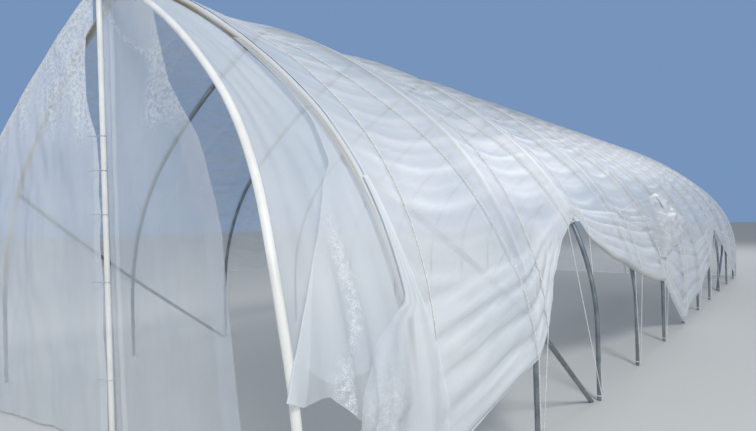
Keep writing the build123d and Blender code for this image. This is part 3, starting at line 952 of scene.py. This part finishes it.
def corner_place(u, v):
    """The cover's front corner, wrapped round the first hoop and hanging ahead of it."""
    height = CORNER_FOOT + v * (CORNER_TOP - CORNER_FOOT)
    ahead = between(CORNER_EDGE, height)
    behind = between(WRAP_EDGE, height)
    gap = -behind + u * (ahead + behind)
    loose = (1 - smooth(0.9, 1.5, height)) * smooth(0.0, 0.1, gap) * (1 - smooth(0.7, 1.0, u))
    wave = 0.014 * math.sin(gap * 31 + 0.8) + 0.007 * ripple((gap, 0, height * 0.2), 16.0, 91)
    if gap < 0:
        return cover_right_spot(height_to_arc(height), FRONT - gap, 0.013)
    lift = 0.013 - 0.02 * smooth(0.0, 0.12, gap) + wave * loose
    curtain = curtain_lift(gap - CURTAIN_GAP, height) + 0.01 - 0.1 * (1 - smooth(0.45, 0.7, height))
    return strip_spot(gap, height, max(lift, curtain))


def corner_gather(u, v):
    """Thickest on the hoop's ridge, and thinner towards the free edge."""
    ridge = math.exp(-(((FRONT - corner_place(u, v).y) / 0.04) ** 2))
    return clamp(0.4 + 0.16 * math.sin(u * 23 + 1) + 0.25 * (1 - smooth(0.25, 0.5, u)) + 0.5 * ridge)


def corner_crinkle_sparkle(u, v):
    """Faintly crinkled, with painted sparkle, low down, towards the free edge."""
    return 0.4 * smooth(0.3, 0.6, u) * (1 - smooth(0.3, 0.6, v))


def canopy_gather(u, v):
    """Cloudy in broad patches."""
    return 0.42 + 0.12 * ripple((u * 3, v * 2, 0), 1.5, 73)


front_canopy = sheet_mesh("film_front_canopy", 50, 120, canopy_place, [("gather", canopy_gather)])
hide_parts("front_hood_right")
front_curtain = sheet_mesh("film_front_curtain", 110, 130, curtain_place,
                           [("crinkle_sparkle", curtain_crinkle_sparkle), ("gather", curtain_gather)])
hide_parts("front_curtain")
front_corner = sheet_mesh("film_front_corner", 70, 100, corner_place,
                          [("gather", corner_gather), ("crinkle_sparkle", corner_crinkle_sparkle)])
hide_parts("front_corner")


def edge_wrap_place(u, v):
    """The cover's front edge rolled round the first hoop, from the shoulder over the crown."""
    start, stop = height_to_arc(EDGE_ROLL_START), height_to_arc(EDGE_ROLL_STOP)
    along = start + v * (2 * HALF_ARCH - start - stop)
    turn = math.radians(-35) + u * math.radians(400)
    uneven = 0.003 * ripple((along * 2.0, math.cos(turn), math.sin(turn)), 3.0, 95)
    radius = PIPE_RADIUS + 0.0035 + 0.005 * u + uneven
    round_hoop = hoop_out(1, along) * math.cos(turn) - Vector((0, math.sin(turn), 0))
    return hoop_spot(1, along, FRONT) + round_hoop * radius


def wrap_stain(u, v):
    """Mould in the fold on the inner side of the rolled edge."""
    inner = math.exp(-(((u - 0.42) / 0.16) ** 2))
    return clamp(inner * (0.85 + 0.8 * ripple((v * 14, u, 0), 1.0, 97)))


front_edge_wrap = sheet_mesh("film_edge_roll", 26, 260, edge_wrap_place,
                             [("gather", lambda u, v: 1.0), ("stain", wrap_stain)])
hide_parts("cover_edge_front")

ENDS = [
    (front_edge_wrap, (0.2, 6.3)), (front_hood_left, (0.6, 4.3)), (front_panel_left, (2.6, 3.2)),
    (front_door, (1.5, 2.9)), (front_canopy, (0.8, 3.6)), (front_curtain, (1.0, 1.8)),
    (front_corner, (0.9, 1.7)),
]
for piece, flat in ENDS + back_pieces:
    dress(piece, FILM)

# Ropes over the cover


def cover_height(along, y):
    """How far the cover stands off the hoops' line, an arc length from the right foot to the left."""
    if along <= HALF_ARCH:
        return knot_pleats(along, y)[0] - cover_depth(1, along, y)
    return -cover_depth(-1, 2 * HALF_ARCH - along, y)


def rope_path(number, direction, points=140):
    """One rope from foot to foot, drawn taut over the film and straight where the wall is open."""
    first, last = (number, number + 1) if direction > 0 else (number + 1, number)
    start, stop = FRONT + BAY * (first - 1), FRONT + BAY * (last - 1)
    lift = FILM_OFFSET + ROPE_RADIUS + ROPE_GAP + (ROPE_CROSSING if direction < 0 else 0)

    def y_at(along):
        return start + (stop - start) * along / (2 * HALF_ARCH)

    low = next(a / 100 for a in range(300) if a / 100 >= right_foot(y_at(a / 100)) + ROPE_LEAVES_FILM)
    low = max(low, ROPE_LOWEST)
    high = 2 * HALF_ARCH - height_to_arc(LEFT_HEM) - ROPE_LEAVES_FILM
    runs = [low + (high - low) * i / points for i in range(points + 1)]
    film = [max(cover_height(run, y_at(run)), -2 * SAG) for run in runs]
    # Pulled straight, pass by pass, between the places where it rests on the film
    taut = list(film)
    for _ in range(60):
        middle = [max(film[i], (taut[i - 1] + taut[i + 1]) / 2) for i in range(1, points)]
        taut = [film[0], *middle, film[-1]]
    path = [Vector((HALF_WIDTH + ROPE_OUT, start + ROPE_ASIDE * direction, ROPE_FOOT))]
    for run, height in zip(runs, taut):
        point, _ = arch(run, lift + height)
        path.append(Vector((point.x, y_at(run), point.y)))
    return path + [Vector((-HALF_WIDTH - ROPE_OUT, stop - ROPE_ASIDE * direction, ROPE_FOOT))]


def rope_piece(name, direction, replaced):
    """All the ropes that run one way, as one piece."""
    curve = bpy.data.curves.new(name, "CURVE")
    curve.dimensions = "3D"
    curve.bevel_depth = ROPE_RADIUS
    curve.bevel_resolution = 1
    for number in range(1, BAYS + 1):
        path = rope_path(number, direction)
        spline = curve.splines.new("POLY")
        spline.points.add(len(path) - 1)
        for point, spot in zip(spline.points, path):
            point.co = (*spot, 1)
    rough = bpy.data.objects.new(name + "_curve", curve)
    mesh = bpy.data.meshes.new_from_object(rough)
    bpy.data.objects.remove(rough)
    for polygon in mesh.polygons:
        polygon.use_smooth = True
    piece = bpy.data.objects.new(name, mesh)
    bpy.context.scene.collection.objects.link(piece)
    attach(piece, "root")
    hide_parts(replaced)
    dress(piece, ROPE)


rope_piece("ropes_a", 1, "hold_down_ropes_a")
rope_piece("ropes_b", -1, "hold_down_ropes_b")

# Camera, lights and floor

CAMERA_PLACE = Vector((3.5617, FRONT - 1.9242, 1.4089))
YAW = math.radians(37.691)
PITCH = math.radians(0.061)
ROLL = math.radians(-1.297)
PHOTO_WIDTH = 756
FOCAL = 554.17 / PHOTO_WIDTH
SHIFT_Y = 4.84 / PHOTO_WIDTH
SENSOR_WIDTH = 36

forward = Vector((-math.sin(YAW) * math.cos(PITCH), math.cos(YAW) * math.cos(PITCH), math.sin(PITCH)))
level = Vector((math.cos(YAW), math.sin(YAW), 0))
upward = level.cross(forward)
right = level * math.cos(ROLL) + upward * math.sin(ROLL)
upward = upward * math.cos(ROLL) - level * math.sin(ROLL)
camera_data = bpy.data.cameras.new("camera")
camera_data.lens = SENSOR_WIDTH * FOCAL
camera_data.sensor_width = SENSOR_WIDTH
camera_data.shift_y = SHIFT_Y
camera = bpy.data.objects.new("camera", camera_data)
bpy.context.scene.collection.objects.link(camera)
turn = Matrix((right, upward, -forward)).transposed().to_4x4()
camera.matrix_world = Matrix.Translation(CAMERA_PLACE) @ turn
bpy.context.scene.camera = camera


def area_light(name, place, target, size, power, shade):
    """A round soft light that faces its target."""
    data = bpy.data.lights.new(name, "AREA")
    data.shape, data.size, data.energy = "DISK", size, power
    data.color = colour(shade)[:3]
    light = bpy.data.objects.new(name, data)
    bpy.context.scene.collection.objects.link(light)
    light.location = place
    light.rotation_euler = (Vector(target) - Vector(place)).to_track_quat("-Z", "Y").to_euler()


area_light("key", (11.0, -12.0, 12.0), (0, -2, 1), 4.0, 1600, "FFFDF8")
area_light("fill", (-10.0, -14.0, 6.0), (0, -3, 1), 8.0, 380, "EAF1FF")
area_light("rim", (3.0, 16.0, 12.0), (0, 2, 1), 8.0, 800, "FFFFFF")

world = bpy.data.worlds.new("studio")
world.use_nodes = True
tree = world.node_tree
tree.nodes.clear()
path = add(tree, "ShaderNodeLightPath")
seen = add(tree, "ShaderNodeMath", {"operation": "ADD", "use_clamp": True},
           {0: path.outputs["Is Camera Ray"], 1: path.outputs["Is Glossy Ray"]})
seen = add(tree, "ShaderNodeMath", {"operation": "ADD", "use_clamp": True},
           {0: seen.outputs[0], 1: path.outputs["Is Transmission Ray"]})
ambient = add(tree, "ShaderNodeBackground", links={"Color": colour("E8EEF5"), "Strength": 0.42})
backdrop = add(tree, "ShaderNodeBackground", links={"Color": colour("7694BC"), "Strength": 1.0})
mixed = add(tree, "ShaderNodeMixShader",
            links={0: seen.outputs[0], 1: ambient.outputs[0], 2: backdrop.outputs[0]})
add(tree, "ShaderNodeOutputWorld", links={"Surface": mixed.outputs[0]})
bpy.context.scene.world = world


def studio_floor():
    """The plain grey floor that the tunnel stands on."""
    bm = bmesh.new()
    bmesh.ops.create_circle(bm, cap_ends=True, segments=64, radius=90)
    floor = bpy.data.meshes.new("floor")
    bm.to_mesh(floor)
    bm.free()
    piece = bpy.data.objects.new("floor", floor)
    bpy.context.scene.collection.objects.link(piece)
    material, tree = new_material("studio_floor")
    shader = add(tree, "ShaderNodeBsdfPrincipled", links={"Base Color": colour("CDD0D1"), "Roughness": 0.9})
    add(tree, "ShaderNodeOutputMaterial", links={"Surface": shader.outputs["BSDF"]})
    dress(piece, material)


studio_floor()
bpy.context.scene.view_settings.view_transform = "Standard"
